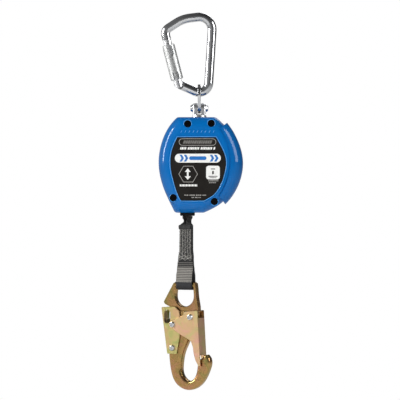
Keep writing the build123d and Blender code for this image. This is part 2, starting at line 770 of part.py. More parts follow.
with BuildPart() as hook_body:
    with BuildSketch(HOOK):
        with BuildLine():
            Polyline((9.0, -68), (15, -52), (20.5, -42), (20.5, -36), (-21, -34), (-19.8, -60))
            Polyline((-19.8, -60), (-22.2, -86), (-24.3, -97.3))
            Spline(*HOOK_OUTER)
            Polyline((38.8, -100.8), (35.4, -96.4), (30.8, -97), (27.6, -101.2))
            Polyline((27.6, -101.2), (22.4, -104.5), (20.6, -112))
            Spline(*HOOK_INNER)
        bowl = make_face()
        fillet(bowl.vertices(), 1.4)
    extrude(amount=6.4, both=True)
    rims = [e for e in hook_body.edges() if abs(HOOK.to_local_coords(e.center()).Z) > 6.3]
    fillet(rims, 4)
    with BuildSketch(HOOK):
        with Locations(GATE_PIVOT):
            Circle(7.8)
    extrude(amount=6.4, both=True)
    # eye: a flat forging, its top closed by a round bar that the web loop turns on
    with BuildSketch(HOOK):
        polygon(
            [(-16.6, 3.2), (-32.4, -23.6), (-30.4, -26.8), (-21, -31), (-20, -44), (16, -44), (21.5, -37)]
            + [(21.2, -30), (18.8, -17), (17.6, -4), (16.6, 3.2)],
            radius=1.5,
        )
        polygon(
            [(-13.4, 12), (13.4, 12), (13.4, -3), (14.4, -12), (14.4, -15.6)]
            + [(-14.4, -15.6), (-14.4, -12), (-13.4, -3)],
            mode=Mode.SUBTRACT,
        )
        with Locations((0, -15.6)):
            Circle(EYE_WINDOW_R, mode=Mode.SUBTRACT)
    extrude(amount=4.75, both=True)
    places = [(edge, HOOK.to_local_coords(edge @ 0.5)) for edge in hook_body.edges()]
    window = [e for e, at in places if abs(at.X) < 14.5 and -30.5 < at.Y < 3 and abs(at.Z) > 4.7]
    chamfer(window, 1.1)
    with BuildSketch(LOOP.offset(-16)):
        Circle(4.5)
    extrude(amount=32)
    with BuildSketch(HOOK):
        with Locations(GATE_PIVOT, LEVER_PIVOT):
            Circle(3.02)
    extrude(amount=10, both=True, mode=Mode.SUBTRACT)
    # pocket for the lever's return spring
    with BuildSketch(LOOP.offset(-26)):
        with Locations((0, -49.8)):
            Circle(4.5)
    extrude(amount=18, mode=Mode.SUBTRACT)
save(hook_body, "hook_body")

for label, place, half in (("hook_gate_rivet", GATE_PIVOT, 10.7), ("hook_lever_rivet", LEVER_PIVOT, 8.7)):
    with BuildPart() as rivet:
        with BuildSketch(HOOK):
            with Locations(place):
                Circle(3)
        extrude(amount=half + 0.1, both=True)
        add(domed_head(HOOK.offset(half), place, 4.5, 2.2))
        add(domed_head(HOOK_REAR.offset(half), (-place[0], place[1]), 4.5, 2.2))
    save(rivet, label)

spring_start = tuple(HOOK.from_local_coords((*GATE_PIVOT, 6.95)))
hook_gate_spring = coil(spring_start, tuple(HOOK.z_dir), 5.2, 0.8, 0.9, 1.5)
save(hook_gate_spring, "hook_gate_spring")

with BuildPart() as hook_gate:
    with BuildSketch(HOOK.offset(-10.6)):
        polygon(
            [(1.3, -37), (23.4, -34.8), (28, -112.6), (25.4, -113), (20.1, -104.3), (17.5, -95)]
            + [(16.2, -85.7), (13, -77.6), (6.5, -74.1), (-2.7, -69.5), (-14, -62.5), (-20.4, -57), (-17.5, -49.8)]
            + [(-6.6, -45.1), (1.2, -41.6)],
            radius=1.2,
        )
        with Locations(LOBE):
            Circle(5.8)
    extrude(amount=21.2)
    # the plates' outer edges are broken
    rims = [e for e in hook_gate.edges() if abs(HOOK.to_local_coords(e @ 0.5).Z) > 10.5]
    chamfer(rims, 0.5)
    with BuildSketch(HOOK.offset(-9)):
        polygon([(-30, -20), (23, -20), (22.6, -46), (25.6, -97.3), (40, -97.3), (40, -120), (-30, -120)])
        polygon([(10, -20), (40, -20), (40, -45.5), (10, -45.5)])
    extrude(amount=18, mode=Mode.SUBTRACT)
    with BuildSketch(HOOK):
        with Locations(GATE_PIVOT):
            Circle(3.06)
        with Locations(LOBE):
            Circle(2.02)
    extrude(amount=15, both=True, mode=Mode.SUBTRACT)
save(hook_gate, "hook_gate")

for label, plane, place in (
    ("gate_lobe_rivet_front", HOOK, LOBE),
    ("gate_lobe_rivet_rear", HOOK_REAR, (-LOBE[0], LOBE[1])),
):
    with BuildPart() as rivet:
        with BuildSketch(plane.offset(9)):
            with Locations(place):
                Circle(2)
        extrude(amount=1.7)
        add(domed_head(plane.offset(10.65), place, 4.3, 2.1))
    save(rivet, label)

with BuildPart() as hook_lever:
    with BuildSketch(HOOK.offset(-8.6)):
        polygon(
            [(-34.3, -31.1), (-12.8, -30), (-6.3, -35.8), (-5, -42.2)]
            + [(-5.6, -71.8), (-10.2, -96.2), (-25.2, -96.2)],
            radius=1.5,
        )
    extrude(amount=17.2)
    with BuildSketch(HOOK.offset(-7)):
        polygon(
            [(-40, -20), (10, -20), (10, -100), (-40, -100)]
            + [(-40, -84), (-24.5, -84), (-31.2, -36), (-40, -36)]
        )
    extrude(amount=14, mode=Mode.SUBTRACT)
    with BuildSketch(HOOK):
        with Locations((-25.1, -43.9)):
            SlotOverall(19, 9.2, rotation=90)
        with Locations(LEVER_PIVOT):
            Circle(3.06)
    extrude(amount=15, both=True, mode=Mode.SUBTRACT)
    places = [(edge, HOOK.to_local_coords(edge @ 0.5)) for edge in hook_lever.edges()]
    bore = Vector(*LEVER_PIVOT)
    rims = [e for e, at in places if abs(at.Z) > 8.5 and (Vector(at.X, at.Y) - bore).length > 3.3]
    chamfer(rims, 0.5)
save(hook_lever, "hook_lever")

lever_spring_start = tuple(HOOK.from_local_coords((-28.2, -49.8, 0)))
hook_lever_spring = coil(lever_spring_start, HOOK_U, 2.4, 0.7, 1.8, 12)
save(hook_lever_spring, "hook_lever_spring")
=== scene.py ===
"""Looks for a self retracting lifeline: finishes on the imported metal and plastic, and real webbing."""

import logging
import math
from collections.abc import Callable, Iterable, Sequence
from dataclasses import dataclass
from enum import Enum
from itertools import cycle
from typing import ClassVar

import bmesh
import bpy
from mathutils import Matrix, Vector

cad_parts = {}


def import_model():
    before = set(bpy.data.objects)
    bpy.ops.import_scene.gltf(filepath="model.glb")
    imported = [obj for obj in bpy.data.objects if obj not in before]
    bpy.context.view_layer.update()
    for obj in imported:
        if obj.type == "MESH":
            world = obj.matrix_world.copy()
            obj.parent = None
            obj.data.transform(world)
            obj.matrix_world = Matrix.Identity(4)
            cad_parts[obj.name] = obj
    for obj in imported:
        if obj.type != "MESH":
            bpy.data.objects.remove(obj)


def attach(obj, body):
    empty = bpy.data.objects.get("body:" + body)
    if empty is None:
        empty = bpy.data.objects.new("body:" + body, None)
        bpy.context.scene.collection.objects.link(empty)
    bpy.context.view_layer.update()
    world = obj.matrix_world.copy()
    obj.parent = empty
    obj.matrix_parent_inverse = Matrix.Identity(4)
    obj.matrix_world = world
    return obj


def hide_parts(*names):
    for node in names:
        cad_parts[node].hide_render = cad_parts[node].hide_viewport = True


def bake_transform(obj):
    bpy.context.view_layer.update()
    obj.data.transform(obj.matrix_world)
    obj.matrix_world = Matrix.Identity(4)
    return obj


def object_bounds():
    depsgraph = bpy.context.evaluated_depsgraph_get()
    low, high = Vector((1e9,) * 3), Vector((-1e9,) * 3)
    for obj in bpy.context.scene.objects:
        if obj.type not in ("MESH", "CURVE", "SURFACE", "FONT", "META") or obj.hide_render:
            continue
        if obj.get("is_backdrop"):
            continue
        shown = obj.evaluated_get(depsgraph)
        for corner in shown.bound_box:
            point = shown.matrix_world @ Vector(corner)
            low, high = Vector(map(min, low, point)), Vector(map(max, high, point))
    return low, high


LOG = logging.getLogger("lifeline")
MM = 0.001
Point = tuple[float, float]
Rgba = tuple[float, float, float, float]
Face = tuple[int, ...]
Shape = tuple[list[Vector], list[Face]]
Stop = tuple[float, str]
Source = bpy.types.NodeSocket | float
Thickness = Callable[[float, float], float]


# ------------------------------ finishes


def to_linear(code: str) -> Rgba:
    """Turn an sRGB hex colour into linear light.

    Args:
        code: The colour as "#rrggbb".

    Returns:
        Linear red, green, blue and an alpha of 1.
    """
    parts = [int(code[i : i + 2], 16) / 255 for i in (1, 3, 5)]
    linear = [c / 12.92 if c <= 0.04045 else ((c + 0.055) / 1.055) ** 2.4 for c in parts]
    return (linear[0], linear[1], linear[2], 1.0)


def add_node(
    tree: bpy.types.NodeTree,
    kind: str,
    settings: dict[str, object] | None = None,
    links: dict[str | int, Source | tuple | Vector] | None = None,
) -> bpy.types.Node:
    """Add a node, with its settings, its plain input values and what feeds its inputs.

    Args:
        tree: The node tree to add to.
        kind: The node's type name.
        settings: Attributes of the node itself.
        links: Input name or number, to a socket that feeds it or a plain value.

    Returns:
        The new node.
    """
    node = tree.nodes.new(kind)
    for name, value in (settings or {}).items():
        setattr(node, name, value)
    for name, value in (links or {}).items():
        if isinstance(value, bpy.types.NodeSocket):
            tree.links.new(value, node.inputs[name])
        else:
            node.inputs[name].default_value = value
    return node


def maths(tree: bpy.types.NodeTree, step: str, first: Source, second: Source = 0.0) -> bpy.types.NodeSocket:
    """One step of arithmetic, its operation named as the node names it."""
    return add_node(tree, "ShaderNodeMath", {"operation": step}, {0: first, 1: second}).outputs[0]


def noise(tree: bpy.types.NodeTree, place: Source, scale: float, **inputs: float) -> bpy.types.NodeSocket:
    """Cloudy noise from 0 to 1, with its scale and any other of the node's inputs."""
    return add_node(
        tree, "ShaderNodeTexNoise", links={"Vector": place, "Scale": scale, **inputs}
    ).outputs["Fac"]


def spread(
    tree: bpy.types.NodeTree, value: Source, across: Point, onto: Point = (0.0, 1.0), kind: str = "LINEAR"
) -> bpy.types.NodeSocket:
    """Spread the values of one range over another.

    Args:
        tree: The node tree.
        value: What is spread.
        across: The range it comes from.
        onto: The range it goes to.
        kind: The interpolation, as the node names it.

    Returns:
        The spread value.
    """
    limits = {"From Min": across[0], "From Max": across[1], "To Min": onto[0], "To Max": onto[1]}
    node = add_node(tree, "ShaderNodeMapRange", {"interpolation_type": kind}, {"Value": value, **limits})
    return node.outputs["Result"]


def blend_colours(tree: bpy.types.NodeTree, value: Source, stops: Sequence[Stop]) -> bpy.types.NodeSocket:
    """Ease from colour to colour.

    Args:
        tree: The node tree.
        value: Where between the colours.
        stops: The colours as sRGB hex, each with its value, in rising order.

    Returns:
        The colour output.
    """
    node = add_node(tree, "ShaderNodeValToRGB", links={"Fac": value})
    ends = node.color_ramp.elements
    for held, (at, code) in zip(ends, (stops[0], stops[-1])):
        held.position = at
        held.color = to_linear(code)
    for at, code in stops[1:-1]:
        ends.new(at).color = to_linear(code)
    return node.outputs["Color"]


class Cloth(Enum):
    """How a piece of webbing is laid out, for its colour and its weave."""

    PLAIN = "plain"
    WEAR = "wear"


@dataclass(frozen=True)
class Finish:
    """A finish: what the surface is made of and how it was made.

    Attributes:
        name: The material's name.
        colour: Base colour, sRGB hex.
        second: The colour it drifts to in patches.
        metal: 1 for bare or plated metal, 0 for the rest.
        rough: Mean roughness.
        rough_drift: How far the roughness wanders.
        patch: Size of the colour patches, mm.
        grain: Size of the surface grain, mm.
        relief: Height of the grain, mm.
        coat: Weight of a clear gloss layer.
        coat_rough: Roughness of that layer.
        sheen: Weight of the soft edge glow of fine fibres.
        ior: Refractive index; below a solid's real one where a matt skin mirrors less.
    """

    name: str
    colour: str
    second: str
    metal: float = 0.0
    rough: float = 0.4
    rough_drift: float = 0.1
    patch: float = 20.0
    grain: float = 1.0
    relief: float = 0.01
    coat: float = 0.0
    coat_rough: float = 0.05
    sheen: float = 0.0
    ior: float = 1.5

    def colour_socket(self, tree: bpy.types.NodeTree, place: bpy.types.NodeSocket) -> bpy.types.NodeSocket:
        """Colour that drifts softly between the two base colours.

        Args:
            tree: The material's node tree.
            place: Where on the object the point is, in metres.

        Returns:
            The colour output.
        """
        drift = noise(tree, place, 1 / (self.patch * MM), Detail=4.0, Roughness=0.55)
        return blend_colours(tree, drift, ((0.36, self.colour), (0.66, self.second)))

    def height_socket(self, tree: bpy.types.NodeTree, place: bpy.types.NodeSocket) -> bpy.types.NodeSocket:
        """Surface grain as a height from 0 to 1.

        Args:
            tree: The material's node tree.
            place: Where on the object the point is, in metres.

        Returns:
            The height output.
        """
        return noise(tree, place, 1 / (self.grain * MM), Detail=3.0, Roughness=0.6)

    def build(self) -> bpy.types.Material:
        """Make the Blender material.

        Returns:
            The finished material.
        """
        made = bpy.data.materials.get(self.name)
        if made is not None:
            return made
        made = bpy.data.materials.new(self.name)
        made.use_nodes = True
        tree = made.node_tree
        shader = tree.nodes["Principled BSDF"]
        place = self.place_socket(tree)
        colour = self.colour_socket(tree, place)
        tree.links.new(colour, shader.inputs["Base Color"])
        height = self.height_socket(tree, place)
        bump = add_node(
            tree, "ShaderNodeBump", links={"Height": height, "Distance": self.relief * MM, "Strength": 1.0}
        )
        tree.links.new(bump.outputs["Normal"], shader.inputs["Normal"])
        wander = noise(tree, place, 1 / (self.patch * 0.4 * MM), Detail=5.0)
        limits = (self.rough - self.rough_drift, self.rough + self.rough_drift)
        tree.links.new(spread(tree, wander, (0.25, 0.75), limits), shader.inputs["Roughness"])
        if not self.metal:
            shader.inputs["IOR"].default_value = self.ior
        for name, value in (
            ("Metallic", self.metal),
            ("Coat Weight", self.coat),
            ("Coat Roughness", self.coat_rough),
            ("Sheen Weight", self.sheen),
        ):
            shader.inputs[name].default_value = value
        return made

    def place_socket(self, tree: bpy.types.NodeTree) -> bpy.types.NodeSocket:
        """The point's place on the object, in metres."""
        return add_node(tree, "ShaderNodeTexCoord").outputs["Object"]


@dataclass(frozen=True)
class BrushedFinish(Finish):
    """A metal rubbed one way, so its grain is drawn out along that way.

    Attributes:
        stretch: How much longer the grain is along x, y and z.
    """

    stretch: tuple[float, float, float] = (1.0, 1.0, 8.0)

    def height_socket(self, tree: bpy.types.NodeTree, place: bpy.types.NodeSocket) -> bpy.types.NodeSocket:
        """Fine scratches drawn out along the rubbing."""
        scale = Vector([1 / s for s in self.stretch])
        drawn = add_node(tree, "ShaderNodeMapping", links={"Vector": place, "Scale": scale})
        return super().height_socket(tree, drawn.outputs["Vector"])


@dataclass(frozen=True)
class ChromatedZinc(Finish):
    """Yellow chromated zinc: gold with greenish and pinkish patches that shift over the plate.

    Attributes:
        third: The pinkish colour of the thin film.
    """

    third: str = "#dca98c"

    def colour_socket(self, tree: bpy.types.NodeTree, place: bpy.types.NodeSocket) -> bpy.types.NodeSocket:
        """Three film colours in soft patches."""
        drift = noise(tree, place, 1 / (self.patch * MM), Detail=3.0, Roughness=0.5, Distortion=0.8)
        return blend_colours(tree, drift, ((0.34, self.second), (0.5, self.colour), (0.68, self.third)))


@dataclass(frozen=True)
class WovenWeb(Finish):
    """Woven webbing, laid out in millimetres across and along the strap.

    Attributes:
        cord: Distance between warp cords across the strap, mm.
        pick: Distance between weft picks along the strap, mm.
        layout: Plain web, or wear web with pale ribs and a dark end band.
    """

    cord: float = 1.6
    pick: float = 1.1
    layout: Cloth = Cloth.PLAIN

    def place_socket(self, tree: bpy.types.NodeTree) -> bpy.types.NodeSocket:
        """Across and along the strap, in millimetres."""
        return add_node(tree, "ShaderNodeUVMap", {"uv_map": "strap_mm"}).outputs["UV"]

    def weave(self, tree: bpy.types.NodeTree, place: bpy.types.NodeSocket) -> bpy.types.NodeSocket:
        """The weave's height: cords along the strap, crossed by picks in alternate rows.

        Args:
            tree: The material's node tree.
            place: Across and along the strap, in millimetres.

        Returns:
            A height from 0 to 1.
        """
        apart = add_node(tree, "ShaderNodeSeparateXYZ", links={"Vector": place})

        def wave(source: bpy.types.NodeSocket, pitch: float) -> bpy.types.NodeSocket:
            """A sine of one direction with the given pitch in millimetres."""
            return maths(tree, "SINE", maths(tree, "MULTIPLY", source, math.tau / pitch))

        across, along = wave(apart.outputs["X"], self.cord), wave(apart.outputs["Y"], self.pick)
        if self.layout is Cloth.WEAR:
            joined = maths(tree, "ADD", maths(tree, "MULTIPLY", across, 0.25), along)
        else:
            joined = maths(tree, "MULTIPLY", across, along)
        return spread(tree, joined, (-1.1, 1.1))

    def colour_socket(self, tree: bpy.types.NodeTree, place: bpy.types.NodeSocket) -> bpy.types.NodeSocket:
        """Yarn colour with fine uneven dye, paler on the weave's crests and darker in its valleys: painted
        shade, and on the wear web also its pale weft ribs over dark warp.
        """
        uneven = noise(tree, place, 1.3, Detail=4.0)
        # the weave's height picks the colour: painted shade in its valleys
        share = maths(tree, "MULTIPLY", self.weave(tree, place), uneven)
        return blend_colours(tree, share, ((0.08, self.colour), (0.5, self.second)))

    def height_socket(self, tree: bpy.types.NodeTree, place: bpy.types.NodeSocket) -> bpy.types.NodeSocket:
        """The weave's own relief."""
        return self.weave(tree, place)


# Forged steel, tumbled and bright zinc plated: mirror-like with soft forging waves.
BRIGHT_PLATE = Finish(
    "steel_forged_bright_zinc", "#c9cacc", "#b6b8bb", metal=1.0, rough=0.16, rough_drift=0.05, grain=5.0,
    relief=0.02
)
# Turned steel, bright plated: the same colour, with turning lines drawn coarser than real so they show.
TURNED_STEEL = Finish(
    "steel_turned_bright", "#ebecee", "#e2e3e5", metal=1.0, rough=0.32, rough_drift=0.03, grain=2.0,
    relief=0.002
)
# Steel tube, bead blasted: an even dull grey with a fine sparkle; grit drawn at 0.7 mm so it shows.
BLASTED_STEEL = Finish(
    "steel_bead_blasted", "#cbcccb", "#b3b4b4", metal=1.0, rough=0.46, rough_drift=0.06, patch=3.0,
    grain=0.7, relief=0.12
)
# Spring wire and strip, oil tempered: dark blue grey with a low shine.
SPRING_STEEL = BrushedFinish(
    "steel_spring_oil_tempered", "#6c6f74", "#54575c", metal=1.0, rough=0.34, rough_drift=0.08, grain=0.6,
    relief=0.01
)
# Nylon, gloss moulded in a polished tool: saturated blue under a clear skin, with slight orange peel.
BLUE_NYLON = Finish(
    "nylon_moulded_gloss_blue", "#0064ae", "#006ab7", rough=0.34, rough_drift=0.02, patch=90.0,
    grain=2.4, relief=0.01, coat=0.45, coat_rough=0.06, ior=1.12
)
# The same nylon made paler, for beads along the label's lip, the screw wells and the raised marks: painted
# highlight lines where light catches those edges.
HIGHLIGHT_NYLON = Finish(
    "nylon_painted_highlight_blue", "#4f9fe4", "#4595dc", rough=0.3, rough_drift=0.03, relief=0.004, coat=0.3,
    ior=1.35
)
# Polyester label, printed and overlaminated: warm black under a thin satin film.
LABEL_FILM = Finish(
    "polyester_label_laminated_black", "#1d1a18", "#22201e", rough=0.42, rough_drift=0.03, grain=0.9,
    relief=0.003, ior=1.22
)
# Screen printed inks: flat and slightly chalky, in white, two greys and blue.
WHITE_INK, GREY_INK, DIM_INK, BLUE_INK = (
    Finish(f"ink_screen_printed_{name}", colour, second, rough=0.5, patch=3.0, grain=0.5, relief=0.002)
    for name, colour, second in (
        ("white", "#f1f1ef", "#e6e6e3"),
        ("grey", "#a9a7a3", "#918f8b"),
        ("dim", "#74726e", "#64625e"),
        ("blue", "#1b72c2", "#1767b2"),
    )
)
# Steel screws, black oxide: nearly black with a faint oily shine.
BLACK_OXIDE = Finish(
    "steel_black_oxide", "#050506", "#0a0a0b", rough=0.4, rough_drift=0.08, patch=2.0, grain=0.4,
    relief=0.01, ior=1.22
)
# Acetal, injection moulded: soft black with a fine spark-eroded texture.
BLACK_ACETAL = Finish(
    "acetal_moulded_black", "#090a0a", "#101111", rough=0.45, grain=0.6, relief=0.015, ior=1.25
)
# Steel strip, laser cut and zinc plated: blue-grey with a fine spangle.
FRAME_PLATE = BrushedFinish(
    "steel_cut_zinc_plated", "#b4b8bd", "#9da1a6", metal=1.0, rough=0.34, rough_drift=0.1, patch=9.0,
    grain=0.7, relief=0.01
)
# Friction lining, pressed fibre and resin: brown-black and open.
LINING = Finish("lining_pressed_fibre", "#3b2f27", "#52463a", rough=0.85, patch=1.6, grain=0.8, relief=0.12)
# Drum, die cast aluminium: pale, slightly pitted.
CAST_ALUMINIUM = Finish(
    "aluminium_die_cast", "#bdbec0", "#a4a5a8", metal=1.0, rough=0.44, rough_drift=0.08, patch=12.0,
    grain=1.4, relief=0.05
)
# Bushes, sintered bronze: dull brown gold, oil dark in its pores.
BRONZE = Finish(
    "bronze_sintered", "#b18a4a", "#8a6634", metal=1.0, rough=0.5, patch=2.0, grain=0.5, relief=0.04
)
# Hook body, forged steel under yellow chromate: gold with olive patches and soft forging waves, darkened to
# brown all over as painted shade for the shank in the lever's window.
GOLD_FORGED_SHADED = ChromatedZinc(
    "steel_forged_chromated_painted_shade", "#b08c58", "#8f8850", metal=1.0, rough=0.26, rough_drift=0.05,
    patch=20.0, grain=3.0, relief=0.02, third="#b98668"
)
# Gate, pressed sheet under the same chromate: paler, its film thick enough to lean towards pink.
GOLD_GATE = ChromatedZinc(
    "steel_pressed_chromated_pink", "#dab78a", "#cfbe86", metal=1.0, rough=0.36, rough_drift=0.05,
    patch=19.0, grain=1.2, relief=0.012, third="#e2ae98"
)
# Lever, pressed sheet from another rack: the film leans towards green.
GOLD_LEVER = ChromatedZinc(
    "steel_pressed_chromated_green", "#c9bb7c", "#aeb86f", metal=1.0, rough=0.34, rough_drift=0.05,
    patch=16.0, grain=1.2, relief=0.012, third="#d6b184"
)
# Rivets, cold headed bright steel.
RIVET_STEEL = Finish(
    "steel_cold_headed_bright", "#d9dadb", "#c2c4c7", metal=1.0, rough=0.2, rough_drift=0.06, patch=4.0,
    grain=1.0, relief=0.01
)
# Polyester webbing: black filament yarn with a slight silky sheen; cords drawn at 1.6 mm so they show.
BLACK_WEB = WovenWeb(
    "polyester_web_woven_black", "#0a0a0b", "#232324", rough=0.7, relief=0.22, sheen=0.15, ior=1.4
)
# The sewn front ply: a shade greyer than the rest.
GREY_WEB = WovenWeb(
    "polyester_web_woven_charcoal", "#0b0b0c", "#2c2b2a", rough=0.72, relief=0.22, sheen=0.15, ior=1.4
)
# The same web crushed into cross folds below the stitching: pale on the fold crests and black in the
# valleys, painted light and shade in step with the folds.
FOLD_LIGHT_AND_SHADE_WEB = WovenWeb(
    "polyester_web_folds_painted_light_and_shade", "#161617", "#6d6a66", rough=0.72, relief=0.3, pick=2.6,
    layout=Cloth.WEAR, ior=1.4
)
# Wear web: pale grey weft ribs over a dark warp.
WEAR_WEB = WovenWeb(
    "polyester_wear_web_ribbed_grey", "#474542", "#a9a59e", rough=0.75, relief=0.3, pick=2.3,
    layout=Cloth.WEAR, ior=1.4
)
# End band of the wear web, woven finer: dark and smooth where it bears on the hook's eye.
BAND_WEB = WovenWeb(
    "polyester_wear_web_dark_band", "#161618", "#3c3c40", rough=0.72, relief=0.16, cord=1.3, pick=1.0,
    ior=1.4
)
# The wound web is seen only with the covers off: the same yarn without a strap layout.
WOUND_WEB = Finish(
    "polyester_web_wound_black", "#131314", "#29292b", rough=0.75, patch=1.8, grain=1.1, relief=0.15,
    sheen=0.3
)
# Bonded polyester thread: pale grey, twisted, with a soft shine.
THREAD = Finish(
    "thread_bonded_polyester_grey", "#aeaca6", "#74716d", rough=0.5, patch=2.2, grain=0.5, relief=0.05,
    sheen=0.2
)
# Studio paper: plain, pale and matt.
STUDIO_PAPER = Finish(
    "paper_studio_pale", "#f7f7f6", "#f3f3f2", rough=0.9, patch=400.0, grain=20.0, relief=0.05
)


# ------------------------------ meshes


def dress(name: str, finish: Finish) -> None:
    """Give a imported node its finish.

    Args:
        name: The node's name.
        finish: The finish it gets.
    """
    node = bpy.data.objects[name]
    material = finish.build()
    if not node.material_slots:
        node.data.materials.append(material)
    for held in node.material_slots:
        held.material = material


def make_piece(
    name: str,
    points: Sequence[Vector],
    faces: Sequence[Sequence[int]],
    finish: Finish,
    flat: Sequence[Point] | None = None,
    smooth: bool = True,
) -> bpy.types.Object:
    """Make a mesh object from points in metres.

    Args:
        name: The piece's name.
        points: The corners.
        faces: Corner numbers of each face.
        finish: The finish it gets.
        flat: For webbing, each corner's place across and along the strap, mm.
        smooth: Whether its faces shade smoothly.

    Returns:
        The new object, linked to the scene.
    """
    mesh = bpy.data.meshes.new(name)
    mesh.from_pydata([tuple(p) for p in points], [], [tuple(f) for f in faces])
    if flat is not None:
        layer = mesh.uv_layers.new(name="strap_mm")
        for loop in mesh.loops:
            layer.data[loop.index].uv = flat[loop.vertex_index]
    shell = bmesh.new()
    shell.from_mesh(mesh)
    bmesh.ops.recalc_face_normals(shell, faces=shell.faces)
    shell.to_mesh(mesh)
    shell.free()
    mesh.polygons.foreach_set("use_smooth", [smooth] * len(mesh.polygons))
    mesh.materials.append(finish.build())
    piece = bpy.data.objects.new(name, mesh)
    bpy.context.scene.collection.objects.link(piece)
    return piece


def loft(rings: Sequence[Sequence[Vector]], closed: bool = False) -> Shape:
    """Skin a row of rings that all have the same number of points.

    Args:
        rings: The rings in order.
        closed: Whether the last ring joins the first. Otherwise both ends are capped.

    Returns:
        The points and the faces.
    """
    count = len(rings[0])
    points = [p for one in rings for p in one]
    faces: list[Face] = []
    for i in range(len(rings) if closed else len(rings) - 1):
        a, b = i * count, (i + 1) % len(rings) * count
        faces += [(a + k, a + (k + 1) % count, b + (k + 1) % count, b + k) for k in range(count)]
    if not closed:
        faces.append(tuple(reversed(range(count))))
        faces.append(tuple(range(len(points) - count, len(points))))
    return points, faces


def tube(path: Sequence[Vector], radius: float, sides: int, closed: bool = False) -> Shape:
    """A round tube along a path.

    Args:
        path: The path's points, metres.
        radius: The tube's radius, metres.
        sides: Points around it.
        closed: Whether the path is a loop.

    Returns:
        The points and the faces.
    """
    rings = []
    last = len(path) - 1
    side = Vector((0, 1, 0))
    for i, here in enumerate(path):
        before = path[i - 1] if i or closed else here
        after = path[(i + 1) % len(path)] if i < last or closed else here
        along = (after - before).normalized()
        side = side - along * side.dot(along)
        side = side.normalized() if side.length > 1e-4 else along.orthogonal().normalized()
        up = along.cross(side)
        rings.append([here + side * a + up * b for a, b in round_points(radius, sides)])
    return loft(rings, closed)


def round_points(radius: float, count: int) -> list[Point]:
    """Points evenly spaced on a circle round the origin."""
    turns = [math.tau * k / count for k in range(count)]
    return [(radius * math.cos(t), radius * math.sin(t)) for t in turns]


def join(parts: Iterable[Shape]) -> Shape:
    """Put several shapes together as one.

    Args:
        parts: The shapes, each as points and faces.

    Returns:
        The points and the faces of them all.
    """
    points: list[Vector] = []
    faces: list[Face] = []
    for some_points, some_faces in parts:
        start = len(points)
        points += some_points
        faces += [tuple(k + start for k in one) for one in some_faces]
    return points, faces


def smooth_line(points: Sequence[Point], steps: int) -> list[Point]:
    """A smooth line through the given points, ends included.

    Args:
        points: The points it goes through.
        steps: Pieces between each two points.

    Returns:
        The line's points.
    """
    line: list[Point] = []
    ends = [points[0], *points, points[-1]]
    for a, b, c, d in zip(ends, ends[1:], ends[2:], ends[3:]):
        for i in range(steps):
            t = i / steps
            weights = (
                (-t + 2 * t * t - t**3) / 2,
                (2 - 5 * t * t + 3 * t**3) / 2,
                (t + 4 * t * t - 3 * t**3) / 2,
                (-t * t + t**3) / 2,
            )
            line.append(tuple(sum(w * p[k] for w, p in zip(weights, (a, b, c, d))) for k in (0, 1)))
    line.append(points[-1])
    return line


def between(x: float, table: Sequence[Point]) -> float:
    """Read a value off a table of (x, value) rows, easing smoothly from row to row.

    Args:
        x: Where to read.
        table: The rows, with x rising.

    Returns:
        The value at x.
    """
    if x <= table[0][0]:
        return table[0][1]
    for (x0, v0), (x1, v1) in zip(table, table[1:]):
        if x <= x1:
            t = (x - x0) / (x1 - x0)
            return v0 + (v1 - v0) * t * t * (3 - 2 * t)
    return table[-1][1]


class Dressed:
    """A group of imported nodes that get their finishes.

    Attributes:
        nodes: The names of the nodes that share a finish.
    """

    nodes: ClassVar[dict[Finish, tuple[str, ...]]]

    def build(self) -> None:
        """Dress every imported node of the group."""
        for finish, names in self.nodes.items():
            for name in names:
                dress(name, finish)


# ------------------------------ anchor


class Anchor(Dressed):
    """The carabiner with its twist-lock gate, and the swivel under it."""

    nodes = {
        BRIGHT_PLATE: ("carabiner_body", "swivel_eye"),
        TURNED_STEEL: ("carabiner_gate", "gate_plunger", "swivel_clevis"),
        BLASTED_STEEL: ("carabiner_sleeve",),
        RIVET_STEEL: ("carabiner_hinge_rivet", "gate_latch_pin", "clevis_bolt", "clevis_nut"),
        SPRING_STEEL: ("gate_spring", "sleeve_spring"),
        BRONZE: ("swivel_thrust_washer",),
        FRAME_PLATE: ("swivel_lock_nut",),
    }


# ------------------------------ housing


